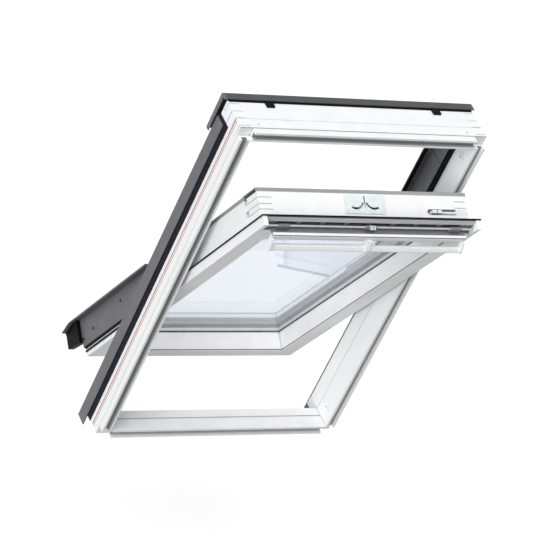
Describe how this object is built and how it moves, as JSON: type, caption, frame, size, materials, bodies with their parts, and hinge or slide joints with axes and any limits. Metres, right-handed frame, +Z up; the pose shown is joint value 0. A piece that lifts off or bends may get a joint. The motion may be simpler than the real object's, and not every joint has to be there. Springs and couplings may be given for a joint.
{
  "type": "centre-pivot roof skylight",
  "caption": "White timber roof skylight on centre pivots, with dark aluminium covers, double glazing, a ventilation flap worked by a control bar, claw lock and barrel bolt",
  "frame": {"origin": "middle of the sill's underside, on the frame's own base face", "axes": "+X to the right seen from the room, +Y from the room to the outside, +Z up the roof's slope"},
  "size_m": [0.796, 0.6218, 1.225],
  "materials": {
    "white_timber": "smooth white lacquer",
    "dark_aluminium": "satin dark grey coating",
    "grey_aluminium": "satin anodised",
    "white_aluminium": "white powder coat",
    "white_plastic": "moulded",
    "black_rubber": "extruded rubber",
    "black_plastic": "moulded",
    "glass": "clear float glass",
    "spacer_bar": "mill finish",
    "zinc_steel": "bright zinc plating"
  },
  "bodies": {
    "frame": {"frame_head": "white_timber", "frame_sill": "white_timber", "frame_jamb_left": "white_timber", "frame_jamb_right": "white_timber", "side_cover_left": "dark_aluminium", "side_cover_right": "dark_aluminium", "side_seal_left": "black_rubber", "side_seal_right": "black_rubber", "upper_cover_left": "dark_aluminium", "upper_cover_right": "dark_aluminium", "corner_cover_left": "dark_aluminium", "corner_cover_right": "dark_aluminium", "upper_seal_left": "black_rubber", "upper_seal_right": "black_rubber", "frame_gasket_left": "black_rubber", "frame_gasket_right": "black_rubber", "head_cover": "dark_aluminium", "head_cover_clips": "black_plastic", "frame_hinge_left": "zinc_steel", "frame_hinge_right": "zinc_steel", "hinge_screws": "zinc_steel", "bolt_bush_upper": "white_plastic", "bolt_bush_lower": "white_plastic", "strike_plate": "zinc_steel"},
    "sash": {"sash_top_rail": "white_timber", "sash_bottom_rail": "white_timber", "sash_stile_left": "white_timber", "sash_stile_right": "white_timber", "inner_pane": "glass", "outer_pane": "glass", "glass_spacer": "spacer_bar", "glazing_gasket": "black_rubber", "glazing_seal": "black_rubber", "top_trim": "grey_aluminium", "upper_trim_left": "grey_aluminium", "upper_trim_right": "grey_aluminium", "lower_cover_left": "dark_aluminium", "lower_cover_right": "dark_aluminium", "bottom_cover": "dark_aluminium", "end_cap_left": "black_plastic", "end_cap_right": "black_plastic", "sash_gasket": "black_rubber", "sash_hinge_left": "zinc_steel", "sash_hinge_right": "zinc_steel", "cover_screws": "zinc_steel", "lock_plate": "zinc_steel", "lock_screws": "zinc_steel", "vent_filter": "black_plastic", "bolt_guide": "zinc_steel", "flap_rod": "zinc_steel"},
    "flap": {"vent_flap": "grey_aluminium", "flap_edge": "white_aluminium", "control_bar": "white_aluminium", "bar_bracket_left": "white_plastic", "bar_bracket_centre": "white_plastic", "bar_bracket_right": "white_plastic", "flap_clevis": "zinc_steel"},
    "bolt": {"barrel_bolt": "zinc_steel"},
    "left_claw": {"claw_left": "zinc_steel"},
    "right_claw": {"claw_right": "zinc_steel"}
  },
  "joints": [
    {"name": "sash_pivot", "type": "hinge", "parent": "frame", "child": "sash", "pos_m": [0, 0.111, 0.575], "axis": [1, 0, 0], "range_deg": [-25.8, 119.2]},
    {"name": "flap_hinge", "type": "hinge", "parent": "sash", "child": "flap", "pos_m": [0, -0.21679, 1.01411], "axis": [1, 0, 0], "range_deg": [-30, 22]},
    {"name": "bolt_slide", "type": "slide", "parent": "sash", "child": "bolt", "axis": [1, 0, 0], "range_m": [0, 0.04]},
    {"name": "left_claw_turn", "type": "hinge", "parent": "sash", "child": "left_claw", "pos_m": [-0.029, -0.13861, 1.04079], "axis": [0, -0.4352, 0.9003], "range_deg": [-30, 22]},
    {"name": "right_claw_turn", "type": "hinge", "parent": "sash", "child": "right_claw", "pos_m": [0.029, -0.13861, 1.04079], "axis": [0, -0.4352, 0.9003], "range_deg": [-22, 30]}
  ],
  "couplings": [
    {"joint": "left_claw_turn", "follows": "flap_hinge", "ratio": 1},
    {"joint": "right_claw_turn", "follows": "flap_hinge", "ratio": -1}
  ]
}
